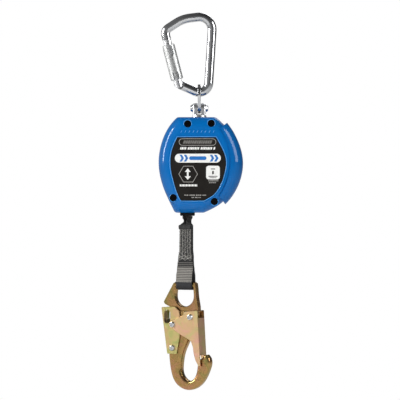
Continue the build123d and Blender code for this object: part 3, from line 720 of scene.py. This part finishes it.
@dataclass
class Housing(Dressed):
    """The blue covers, their screws and grip, the printed label, and pale beads painted as highlights along
    their edges.

    Attributes:
        label_left: The label's left outline from the bottom up, mm.
        label_right: Its right outline from the top down, mm.
        label_middle: The middle that the lip's line grows from, mm.
        label_reach: How far the outline is from that middle, mm.
        face_depth: Depth of the label's face in front of the object's middle, mm.
        rim_depth: Depth of the lip round the label, mm.
        lip: Radius of the pale lip round the label, a painted highlight, mm.
        ink: Thickness of the print, mm.
        letter_gap: Space between the small bars of a row, mm.
        screws: Centres of the screw wells, mm.
        screw_tops: Depth of each well's edge, mm.
        screw_rim: Radius of the wells, mm.
        marks: Middle of the row of raised marks, mm.
        mark_half: From a mark's middle to its upper end, mm.
        mark_pitch: Distance between marks, mm.
        mark_top: Depth of the marks' tops, mm.
    """

    nodes = {
        BLUE_NYLON: ("front_cover", "rear_cover", "side_grip"),
        LABEL_FILM: ("label_plate",),
        BLACK_OXIDE: ("cover_screws",),
        FRAME_PLATE: ("cover_nuts",),
        BLACK_ACETAL: ("web_guide",),
    }
    label_left: tuple[Point, ...] = (
        (-25.5, -252.3),
        (-31.5, -240),
        (-38.8, -213.4),
        (-40.2, -196),
        (-37.7, -180.9),
        (-30.5, -164),
    )
    label_right: tuple[Point, ...] = (
        (23.2, -164),
        (29.6, -175.5),
        (34.8, -187),
        (37.4, -201),
        (31.9, -225),
        (21.6, -242.3),
        (6.4, -252.3),
    )
    label_middle: Point = (-1.4, -208.1)
    label_reach: float = 41.0
    face_depth: float = 33.2
    rim_depth: float = 33.7
    lip: float = 0.55
    ink: float = 0.06
    letter_gap: float = 0.45
    screws: tuple[Point, ...] = ((-16.2, -145.5), (16.7, -144.9), (-36.2, -248.2), (21.0, -253.4))
    screw_tops: tuple[float, ...] = (31.9, 31.9, 30.0, 29.6)
    screw_rim: float = 5.5
    marks: Point = (-2.5, -156.2)
    mark_half: Point = (0.8, 1.5)
    mark_pitch: float = 5.6
    mark_top: float = 33.5

    def at(self, point: Point, depth: float) -> Vector:
        """A point of the front face, metres."""
        return Vector((point[0], -depth, point[1])) * MM

    def patch(
        self, outline: Sequence[Point], hole: Sequence[Point] | None = None, lift: float = 0.0
    ) -> Shape:
        """One printed patch with a little thickness.

        Args:
            outline: Its outer corners, mm.
            hole: The corners of its hole, as many as the outline's.
            lift: How far it stands over the label, mm.

        Returns:
            The points and the faces.
        """
        low, high = self.face_depth - 0.02 + lift, self.face_depth + self.ink + lift
        outer = [[self.at(p, depth) for p in outline] for depth in (low, high)]
        if hole is None:
            return loft(outer)
        inner = [[self.at(p, depth) for p in hole] for depth in (high, low)]
        return loft([*outer, *inner], closed=True)

    def bar(self, centre: Point, size: Point, lean: float = 0.0) -> list[Point]:
        """The corners of a bar, mm.

        Args:
            centre: The bar's middle.
            size: Its width and height.
            lean: How far its top leans to the right and its bottom to the left.

        Returns:
            The four corners.
        """
        (x, z), (w, h) = centre, (size[0] / 2, size[1] / 2)
        return [(x - w - lean, z - h), (x + w - lean, z - h), (x + w + lean, z + h), (x - w + lean, z + h)]

    def rounded(self, centre: Point, size: Point, radius: float) -> list[Point]:
        """The outline of a bar with rounded corners, mm.

        Args:
            centre: The bar's middle.
            size: Its width and height.
            radius: The corners' radius.

        Returns:
            The outline.
        """
        w, h = size[0] / 2 - radius, size[1] / 2 - radius
        corners = ((w, h, 0), (-w, h, 90), (-w, -h, 180), (w, -h, 270))
        outline = []
        for x, z, start in corners:
            for turn in range(start, start + 91, 15):
                t = math.radians(turn)
                outline.append((centre[0] + x + radius * math.cos(t), centre[1] + z + radius * math.sin(t)))
        return outline

    def hexagon(self, centre: Point, half: Point) -> list[Point]:
        """A hexagon with points to the left and right, mm."""
        flat = math.cos(math.radians(30))
        return [(centre[0] + half[0] * x, centre[1] + half[1] * z / flat) for x, z in round_points(1, 6)]

    def row(
        self, start: Point, end_x: float, height: float, widths: Sequence[float], lean: float = 0.0
    ) -> list[Shape]:
        """A row of small bars in place of a line of print.

        Args:
            start: Left end of the row's middle, mm.
            end_x: Right end, mm.
            height: Bar height, mm.
            widths: Bar widths, used over and over; a negative one is a space.
            lean: How far each bar leans, mm.

        Returns:
            The patches.
        """
        made = []
        x = start[0]
        for width in cycle(widths):
            if x + abs(width) > end_x:
                return made
            if width > 0:
                made.append(self.patch(self.bar((x + width / 2, start[1]), (width, height), lean)))
            x += abs(width) + self.letter_gap

    def print_label(self) -> None:
        """Print the label: frames, bars and plain signs in white, grey and blue ink."""
        pill, badge, box, sign = (-2.5, -170.8), (-2.0, -193.2), (19.0, -213.2), (-15.4, -215.3)
        white = [
            self.patch(self.rounded(badge, (64, 12.4), 6.1)),
            self.patch(self.rounded(box, (19, 19), 3.6)),
            *self.row((-26.5, -179.6), 22.2, 3.4, (1.5, 2.3, 1.4, 1.9, -1.2, 2.1, 1.5, 2.4), 0.35),
            *self.row((-27.0, -231.0), -2.6, 2.8, (2.0, 1.4, 1.8, 1.2)),
            *(self.patch(points) for points in self.arrow((-16.0, -215.3))),
        ]
        grey = [
            self.patch(self.rounded(pill, (51.8, 9.8), 4.8), self.rounded(pill, (50.4, 8.4), 4.1)),
            self.patch(self.hexagon(sign, (13.4, 11.4)), self.hexagon(sign, (12.5, 10.6))),
            *self.row((12.4, -224.6), 26.4, 1.3, (1.2, 1.8, 0.9)),
            *self.row((13.6, -227.2), 25.2, 1.2, (1.6, 0.8, 1.3)),
            *self.row((-20.6, -244.6), 10.6, 1.5, (1.4, 1.0, 2.0, -0.7, 1.7)),
            *self.row((-10.6, -247.8), 2.2, 1.3, (1.2, 1.6, -0.6)),
        ]
        chevrons = [self.chevron((x, badge[1])) for x in (-27.5, -21.5, 14.5, 20.5)]
        dim = self.row((-22.0, -170.8), 18.0, 4.4, (3.2, 2.2, 3.0, 1.8, 2.6), 0.8)
        blue = [self.patch(points, lift=0.05) for points in chevrons]
        blue.append(self.patch(self.rounded(badge, (24, 5.2), 2.5), lift=0.05))
        dark = [
            self.patch(self.bar((19.0, -208.2), (6.0, 1.1)), lift=0.05),
            self.patch(self.bar((19.0, -213.2), (2.2, 4.6)), lift=0.05),
            self.patch(self.bar((19.0, -218.4), (12.4, 1.0)), lift=0.05),
            self.patch(self.bar((19.0, -220.4), (9.6, 0.8)), lift=0.05),
        ]
        for name, parts, finish in (
            ("label_print_white", white, WHITE_INK),
            ("label_print_grey", grey, GREY_INK),
            ("label_print_dim", dim, DIM_INK),
            ("label_print_blue", blue, BLUE_INK),
            ("label_print_dark", dark, LABEL_FILM),
        ):
            piece = make_piece(name, *join(parts), finish, smooth=False)
            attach(piece, "housing")

    def chevron(self, start: Point) -> list[Point]:
        """A chevron that points right, from the middle of its left side, mm."""
        x, z = start
        arm = [(x, z - 4.8), (x + 3.4, z - 4.8), (x + 6.2, z), (x + 3.4, z + 4.8), (x, z + 4.8)]
        return [*arm, (x + 2.8, z)]

    def arrow(self, centre: Point) -> list[list[Point]]:
        """A plain double arrow along the web's pull, mm."""
        x, z = centre
        return [
            [(x - 1.3, z - 3.2), (x + 1.3, z - 3.2), (x + 1.3, z + 3.2), (x - 1.3, z + 3.2)],
            [(x - 4.2, z + 3.0), (x + 4.2, z + 3.0), (x, z + 8.0)],
            [(x - 4.2, z - 3.0), (x, z - 8.0), (x + 4.2, z - 3.0)],
        ]

    def painted_highlights(self) -> None:
        """Add pale beads as painted highlights: the lip round the label, the lips round the screw wells and
        the crests of the raised marks.
        """
        grow = 1 + self.lip / self.label_reach
        line = [*smooth_line(self.label_left, 10), *smooth_line(self.label_right, 10)]
        mx, mz = self.label_middle
        path = [
            self.at((mx + (x - mx) * grow, mz + (z - mz) * grow), self.rim_depth - 0.1) for x, z in line
        ]
        lip = make_piece("label_lip_painted_highlight", *tube(path, self.lip * MM, 8, closed=True), HIGHLIGHT_NYLON)
        rings = []
        for (x, z), top in zip(self.screws, self.screw_tops):
            circle = [(x + rx, z + rz) for rx, rz in round_points(self.screw_rim, 40)]
            ring = [self.at(point, top + 0.05) for point in circle]
            rings.append(tube(ring, 0.38 * MM, 8, closed=True))
        wells = make_piece("screw_well_painted_highlights", *join(rings), HIGHLIGHT_NYLON)
        caps = []
        for i in range(-4, 5):
            (x, z), (dx, dz) = (self.marks[0] + self.mark_pitch * i, self.marks[1]), self.mark_half
            path = [(x + dx * t, z + dz * t) for t in (-1, -0.5, 0, 0.5, 1)]
            caps.append(tube([self.at(p, self.mark_top - 0.25) for p in path], 0.5 * MM, 8))
        marks = make_piece("raised_mark_painted_highlights", *join(caps), HIGHLIGHT_NYLON)
        for piece in (lip, wells, marks):
            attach(piece, "housing")

    def build(self) -> None:
        """Dress the covers, add what is printed on them, and add pale beads painted as highlights along
        their edges.
        """
        super().build()
        self.print_label()
        self.painted_highlights()


# ------------------------------ reel


class Reel(Dressed):
    """Everything inside the housing: frame, drum, brake, pawls, power spring and wound web."""

    nodes = {
        FRAME_PLATE: ("main_frame", "ratchet_ring", "clamp_ring", "pawl_a", "pawl_b"),
        TURNED_STEEL: ("drum_shaft", "spring_arbor", "web_pin"),
        SPRING_STEEL: ("shaft_clips", "power_spring", "pawl_springs"),
        LINING: ("friction_disc_front", "friction_disc_rear"),
        BLACK_OXIDE: ("clamp_screws",),
        BLACK_ACETAL: ("spring_cup", "spring_cup_lid"),
        CAST_ALUMINIUM: ("drum_hub", "drum_flange_front", "drum_flange_rear"),
        RIVET_STEEL: ("drum_rivets", "pawl_pins"),
        BRONZE: ("bush_front", "bush_rear"),
        WOUND_WEB: ("web_roll", "web_span"),
    }


# ------------------------------ lifeline


@dataclass(frozen=True)
class Station:
    """One cut across a strap.

    Attributes:
        centre: Middle of the cut, mm.
        across: Unit direction of its width.
        normal: Unit direction of its thickness.
        along: Distance along the strap, mm.
    """

    centre: Vector
    across: Vector
    normal: Vector
    along: float


@dataclass
class Lifeline:
    """The web from the guide to the hook's eye: gathered neck, sewn plies, ribbed wear loop.

    Attributes:
        width: The web's width, mm.
        ply: Thickness of one ply, mm.
        eye: Centre of the hook's eye bar, mm.
        loop_radius: From the bar's centre to the middle of the ply round it, mm.
        yaws: Heights, and the strap's turn about the vertical there, degrees.
        middles: Heights, and the strap's middle there, mm.
        gaps: Heights over the bar, and half the distance between the plies there, mm.
        top: Height over the bar where the sewn part ends, mm.
        end_start: Height over the bar where the turned end starts, mm.
        end_height: How tall the turned end is, mm.
        fold_pitch: Distance between cross folds, mm.
        rib_pitch: Distance between the wear web's ribs, mm.
        thread: Radius of the thread, mm.
    """

    width: float = 24.8
    ply: float = 1.9
    eye: Point = (-18.9, -370.4)
    loop_radius: float = 5.7
    yaws: tuple[Point, ...] = ((-342.4, 27), (-333, 34), (-320, 45), (-286, 46))
    middles: tuple[Point, ...] = ((-342.4, -18.9), (-322, -18.2), (-286.4, -18.0))
    gaps: tuple[Point, ...] = ((0, 5.7), (12, 5.2), (22, 2.7), (29, 1.15), (90, 1.05))
    top: float = 84.0
    end_start: float = 78.0
    end_height: float = 6.2
    fold_pitch: float = 2.6
    rib_pitch: float = 2.3
    thread: float = 0.34

    def station(self, height: float, side: float, along: float) -> Station:
        """The cut of one ply at a height over the hook's eye bar.

        Args:
            height: Height over the eye bar, mm.
            side: -1 for the front ply, 1 for the rear ply.
            along: Distance along the strap, mm.

        Returns:
            The cut.
        """
        z = self.eye[1] + height
        yaw = math.radians(between(z, self.yaws))
        back = Vector((math.sin(yaw), math.cos(yaw), 0))
        across = Vector((math.cos(yaw), -math.sin(yaw), 0))
        centre = Vector((between(z, self.middles), 0, z)) + back * side * between(height, self.gaps)
        return Station(centre, across, back * side, along)

    def ribbon(self, front: float, rear: float, step: float = 0.4) -> list[Station]:
        """Cuts down the front ply, round the eye bar and up the rear ply.

        Args:
            front: Height over the bar where the front ply starts, mm.
            rear: Height where the rear ply ends, mm.
            step: Distance between cuts, mm.

        Returns:
            The cuts in order.
        """
        cuts = [self.station(h, -1, h) for h in self.heights(front, 0, step)]
        yaw = math.radians(self.yaws[0][1])
        back = Vector((math.sin(yaw), math.cos(yaw), 0))
        across = Vector((math.cos(yaw), -math.sin(yaw), 0))
        count = int(math.pi * self.loop_radius / step)
        for i in range(1, count):
            turn = math.pi * i / count
            normal = back * -math.cos(turn) + Vector((0, 0, -math.sin(turn)))
            centre = Vector((self.eye[0], 0, self.eye[1])) + normal * self.loop_radius
            cuts.append(Station(centre, across, normal, -turn * self.loop_radius))
        cuts += [self.station(h, 1, -math.pi * self.loop_radius - h) for h in self.heights(0, rear, step)]
        return cuts

    def heights(self, start: float, end: float, step: float) -> list[float]:
        """Evenly spaced heights, mm.

        Args:
            start: The first height.
            end: The last height.
            step: About how far apart they are.

        Returns:
            The heights in order.
        """
        count = max(2, int(abs(end - start) / step))
        return [start + (end - start) * i / count for i in range(count + 1)]

    def sweep(
        self,
        name: str,
        cuts: Sequence[Station],
        finish: Finish,
        thick: Thickness,
        width: float | None = None,
    ) -> bpy.types.Object:
        """Skin a strap with rounded selvedges over its cuts.

        Args:
            name: The piece's name.
            cuts: The cuts in order.
            finish: The web's finish.
            thick: Thickness for a distance along and a share across, mm.
            width: Width, mm, where it is not the web's own.

        Returns:
            The strap.
        """
        count = 20
        width = width or self.width
        shares = [-1 + 2 * k / count for k in range(count + 1)]
        rings, flat = [], []
        for cut in cuts:
            ring = []
            for face in (1, -1):
                for share in shares if face == 1 else reversed(shares):
                    edge = math.sqrt(max(0.0, 1 - max(0.0, abs(share) - 0.94) ** 2 / 0.06**2))
                    half = thick(cut.along, share) / 2 if face == 1 else self.ply / 2
                    rise = cut.normal * face * (half * (0.25 + 0.75 * edge))
                    ring.append((cut.centre + (cut.across * share * width / 2 + rise)) * MM)
                    flat.append((share * width / 2 + 40, cut.along + 120))
            rings.append(ring)
        points, faces = loft(rings)
        return make_piece(name, points, faces, finish, flat)

    def neck(self) -> bpy.types.Object:
        """The web below the guide, gathered into folds and turned into the plane of the sewn part.

        Returns:
            The gathered web.
        """
        top, bottom = -269.6, -288.6
        halves = (
            (0.0, 12.4), (0.2, 11.4), (0.34, 9.4), (0.57, 4.8), (0.66, 5.4), (0.86, 11.2), (1.0, 12.2)
        )
        folds = ((0.0, 0.05), (0.16, 0.3), (0.34, 1.3), (0.57, 2.6), (0.66, 2.4), (0.84, 0.8), (1.0, 0.25))
        turns = ((0.0, 88.0), (0.1, 84.0), (0.27, 50.0), (0.36, 45.0), (1.0, 46.0))
        middles = ((0.0, -16.5), (0.5, -17.0), (1.0, -18.0))
        rows, columns = 56, 48
        rings, flat = [], []
        for i in range(rows + 1):
            t = i / rows
            yaw = math.radians(between(t, turns))
            across = Vector((math.cos(yaw), -math.sin(yaw), 0))
            back = Vector((math.sin(yaw), math.cos(yaw), 0))
            centre = Vector((between(t, middles), 0, top + (bottom - top) * t))
            half, deep = between(t, halves), between(t, folds)
            line = []
            for k in range(columns + 1):
                share = -1 + 2 * k / columns
                bend = math.sin(share * 5.3 + 0.7 + 2.2 * t) + 0.35 * math.sin(share * 11.0 - 5.0 * t)
                line.append((half * share + deep * 0.35 * math.sin(share * 8.0 + 3.0 * t), deep * bend))
            ring = []
            for face in (1, -1):
                order = range(columns + 1) if face == 1 else range(columns, -1, -1)
                for k in order:
                    a, b = line[max(0, k - 1)], line[min(columns, k + 1)]
                    run = Vector((b[0] - a[0], b[1] - a[1]))
                    out = Vector((-run.y, run.x)).normalized() * face * self.ply * 0.45
                    x, y = line[k][0] + out.x, line[k][1] + out.y
                    ring.append((centre + across * x + back * y) * MM)
                    flat.append((self.width * k / columns, 300 + 1.25 * (top - bottom) * t))
            rings.append(ring)
        points, faces = loft(rings)
        return make_piece("web_neck_gathered", points, faces, BLACK_WEB, flat)

    def stitches(self) -> bpy.types.Object:
        """Columns of bar tacks over the front ply, in geometry.

        Returns:
            The stitching.
        """
        columns = (-0.8, -0.4, 0.0, 0.4, 0.8)
        parts = []
        low, high = 37.0, 79.5
        for number, share in enumerate(columns):
            pitch = 2.1 + 0.12 * (number % 3)
            count = int((high - low) / pitch)
            for shift, reach in ((0.0, 1.7), (0.35, 0.95)):
                path = []
                for k in range(count * 2):
                    height = low + (k / 2 + shift) * pitch
                    cut = self.station(height, -1, height)
                    sway = 0.5 * math.sin(
                        height * 0.9 + number * 2.1
                    ) + 0.45 * math.sin(height * 2.3 + number)
                    uneven = 1 + 0.35 * math.sin(height * 1.7 + number * 3.1)
                    x = share * self.width / 2 * 0.98 + reach * uneven * (1 if k % 2 else -1) + sway
                    lift = self.ply / 2 + self.thread * (0.7 + 0.35 * shift)
                    path.append((cut.centre + cut.across * x + cut.normal * lift) * MM)
                parts.append(tube(path, self.thread * MM, 6))
        for height, bow in ((36.0, 1.0), (38.4, 1.4), (40.8, 1.1)):
            path = []
            for k in range(33):
                share = -0.86 + 1.72 * k / 32
                level = height + bow * math.sin(share * 9.0 + height)
                cut = self.station(level, -1, level)
                reach = self.ply / 2 + self.thread * 1.2
                path.append((cut.centre + cut.across * share * self.width / 2 + cut.normal * reach) * MM)
            parts.append(tube(path, self.thread * MM, 6))
        return make_piece("web_stitching", *join(parts), THREAD)

    def turned_end(self) -> bpy.types.Object:
        """The front ply's cut end, turned under and crushed, at the top of the sewn part.

        Returns:
            The turned end.
        """
        cuts = []
        for height in self.heights(self.end_start, self.end_start + self.end_height, 0.35):
            cut = self.station(height, -1, height)
            cuts.append(Station(cut.centre + cut.normal * 0.9, cut.across, cut.normal, height))

        def thick(along: float, share: float) -> float:
            """Lumpy folds that die out at both edges of the end."""
            t = (along - self.end_start) / self.end_height
            lump = 1.0 + 0.5 * math.sin(share * 7 + 1.3) + 0.35 * math.sin(share * 15 + along * 1.4)
            return 1.2 + 3.0 * math.sin(math.pi * min(1.0, max(0.0, t))) ** 0.6 * (0.6 + 0.3 * lump)

        return self.sweep("web_turned_end", cuts, BLACK_WEB, thick, self.width + 1.4)

    def plain(self, along: float, _share: float) -> float:
        """Thickness of a plain ply, mm: nearly even."""
        return self.ply + 0.12 * math.sin(along * 1.3)

    def folds(self, along: float, share: float) -> float:
        """Thickness of the three cross folds under the stitching, mm."""
        return self.ply + 0.9 * abs(
            math.sin(math.pi * (along - 25.5) / self.fold_pitch + 0.25 * math.sin(share * 3.0))
        )

    def ribs(self, along: float, share: float) -> float:
        """Thickness of the wear web: ribs on the front, smooth round the bar."""
        fade = min(1.0, max(0.0, (along - 2.5) / 2.0))
        return self.ply + 0.25 + 0.45 * fade * abs(
            math.sin(math.pi * along / self.rib_pitch + 0.12 * share)
        )

    def build(self) -> None:
        """Make the web and its stitching in place of the plain packed straps."""
        neck = self.neck()
        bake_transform(neck)
        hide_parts("web_neck")
        round_bar = math.pi * self.loop_radius
        cuts = self.ribbon(self.top, self.top)

        def stretch(
            name: str, low: float, high: float, finish: Finish, thick: Thickness
        ) -> bpy.types.Object:
            """Skin the strap between two distances along it."""
            return self.sweep(name, [cut for cut in cuts if low < cut.along < high], finish, thick)

        rear = stretch("web_rear_ply", -math.inf, -round_bar - 20, BLACK_WEB, self.plain)
        front = stretch("web_front_ply", 33.2, math.inf, GREY_WEB, self.plain)
        folded = stretch("web_cross_folds", 25.2, 33.6, FOLD_LIGHT_AND_SHADE_WEB, self.folds)
        wear = stretch("web_wear_ribs", 4.2, 25.6, WEAR_WEB, self.ribs)
        band = stretch("web_wear_band", -round_bar - 22, 4.6, BAND_WEB, self.ribs)
        stitching, end = self.stitches(), self.turned_end()
        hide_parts("lifeline_sewn")
        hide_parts("lifeline_loop")
        for piece, name in (
            (rear, "black_web"),
            (front, "sewn_web"),
            (folded, "sewn_web"),
            (stitching, "sewn_web"),
            (end, "black_web"),
            (wear, "wear_web"),
            (band, "wear_web"),
        ):
            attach(piece, "lifeline")


# ------------------------------ hook


class SnapHook(Dressed):
    """The double locking snap hook."""

    nodes = {
        GOLD_FORGED_SHADED: ("hook_body",),
        GOLD_GATE: ("hook_gate",),
        GOLD_LEVER: ("hook_lever",),
        RIVET_STEEL: (
            "hook_gate_rivet", "hook_lever_rivet", "gate_lobe_rivet_front", "gate_lobe_rivet_rear"
        ),
        SPRING_STEEL: ("hook_gate_spring", "hook_lever_spring"),
    }


# ------------------------------ studio


@dataclass
class Studio:
    """A plain pale room: floor, soft boxes, a dim surround and a long lens.

    Attributes:
        middle: The point that the camera and the lights face, metres.
        span: Width of the view at that point, metres.
        distance: From the camera to that point, metres.
        floor_drop: How far the floor lies under the object, metres.
        floor_size: The floor's radius, metres.
        floor_glow: Strength of the light that the floor gives back.
    """

    middle: tuple[float, float, float] = (0.001, 0.0, -0.2513)
    span: float = 0.56
    distance: float = 4.0
    floor_drop: float = 0.09
    floor_size: float = 12.0
    floor_glow: float = 0.25

    def floor(self, low: float) -> None:
        """Lay the floor a little under the object.

        Args:
            low: The object's lowest height, metres.
        """
        rings = []
        for radius in (0.0005, 0.5, 2.0, self.floor_size):
            rings.append([Vector((x, y, low - self.floor_drop)) for x, y in round_points(radius, 64)])
        points, faces = loft(rings)
        plane = make_piece("studio_floor", points, faces[:-1], STUDIO_PAPER)
        shader = plane.data.materials[0].node_tree.nodes["Principled BSDF"]
        shader.inputs["Emission Color"].default_value = (1, 1, 1, 1)
        shader.inputs["Emission Strength"].default_value = self.floor_glow
        # the camera sees the white room behind it, so the paid out web is not cut off
        plane.visible_camera = False
        plane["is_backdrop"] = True

    def softbox(
        self,
        name: str,
        azimuth: float,
        height: float,
        size: Point,
        power: float,
        away: float = 1.6,
        mirrored: bool = True,
        scattered: bool = True,
    ) -> None:
        """Hang a soft box facing the object.

        Args:
            name: The light's name.
            azimuth: Degrees round the object from the camera's side, positive to the right.
            height: Height over the object's middle, metres.
            size: Width and height, metres.
            power: Watts.
            away: Distance from the object, metres.
            mirrored: Whether shiny surfaces show it.
            scattered: Whether it lights matt surfaces.
        """
        data = bpy.data.lights.new(name, "AREA")
        data.shape = "RECTANGLE"
        data.size, data.size_y = size
        data.energy = power
        lamp = bpy.data.objects.new(name, data)
        turn = math.radians(azimuth)
        place = Vector(self.middle) + Vector((math.sin(turn) * away, -math.cos(turn) * away, height))
        lamp.location = place
        lamp.rotation_mode = "QUATERNION"
        lamp.rotation_quaternion = (Vector(self.middle) - place).to_track_quat("-Z", "Y")
        lamp.visible_camera = False
        lamp.visible_glossy = mirrored
        lamp.visible_diffuse = scattered
        bpy.context.scene.collection.objects.link(lamp)

    def surround(self) -> None:
        """Light the room dimly, brighter from the left and from below; camera rays see it white."""
        world = bpy.data.worlds.new("studio_surround")
        world.use_nodes = True
        bpy.context.scene.world = world
        tree = world.node_tree
        sky = tree.nodes["Background"]
        place = add_node(tree, "ShaderNodeTexCoord")
        apart = add_node(tree, "ShaderNodeSeparateXYZ", links={"Vector": place.outputs["Generated"]})
        side = spread(tree, apart.outputs["X"], (-0.95, 0.25), (0.62, 0.14), "SMOOTHSTEP")
        above = spread(tree, apart.outputs["Z"], (0.0, 0.7), (1.0, 0.4), "SMOOTHSTEP")
        dim = maths(tree, "MULTIPLY", side, above)
        path = add_node(tree, "ShaderNodeLightPath")
        seen = add_node(
            tree,
            "ShaderNodeMix",
            {"data_type": "RGBA"},
            {0: path.outputs["Is Camera Ray"], 6: dim, 7: (1.0, 1.0, 1.0, 1.0)},
        )
        tree.links.new(seen.outputs[2], sky.inputs["Color"])
        sky.inputs["Strength"].default_value = 1.0

    def camera(self) -> None:
        """Set up a level camera with a very long lens."""
        data = bpy.data.cameras.new("studio_camera")
        data.sensor_width = 36
        data.lens = data.sensor_width * self.distance / self.span
        data.clip_end = 60
        eye = bpy.data.objects.new("studio_camera", data)
        eye.location = (self.middle[0], -self.distance, self.middle[2])
        eye.rotation_euler = (math.pi / 2, 0, 0)
        bpy.context.scene.collection.objects.link(eye)
        bpy.context.scene.camera = eye

    def build(self, low: float) -> None:
        """Set up the whole room.

        Args:
            low: The object's lowest height, metres.
        """
        bpy.context.scene.view_settings.view_transform = "Standard"
        self.floor(low)
        self.surround()
        self.softbox("softbox_key", -14, 1.6, (1.2, 0.9), 54, 2.2, mirrored=False)
        self.softbox("softbox_left", -80, 0.6, (0.28, 1.1), 28, scattered=False)
        self.softbox("softbox_right", 64, 0.6, (0.6, 1.0), 16, scattered=False)
        self.softbox("softbox_rear", 160, 1.6, (1.2, 0.9), 12, 2.0)
        self.camera()


def main() -> None:
    """Build the pieces in order, logging each, and set up the studio under the imported model's lowest
    point.
    """
    logging.basicConfig(level=logging.INFO, format="%(name)s: %(message)s")
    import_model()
    cad_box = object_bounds()
    for piece in (Anchor(), Housing(), Reel(), Lifeline(), SnapHook()):
        piece.build()
        LOG.info("built %s", type(piece).__name__)
    Studio().build(cad_box[0].z)
    LOG.info("built Studio")


if __name__ == "__main__":
    main()
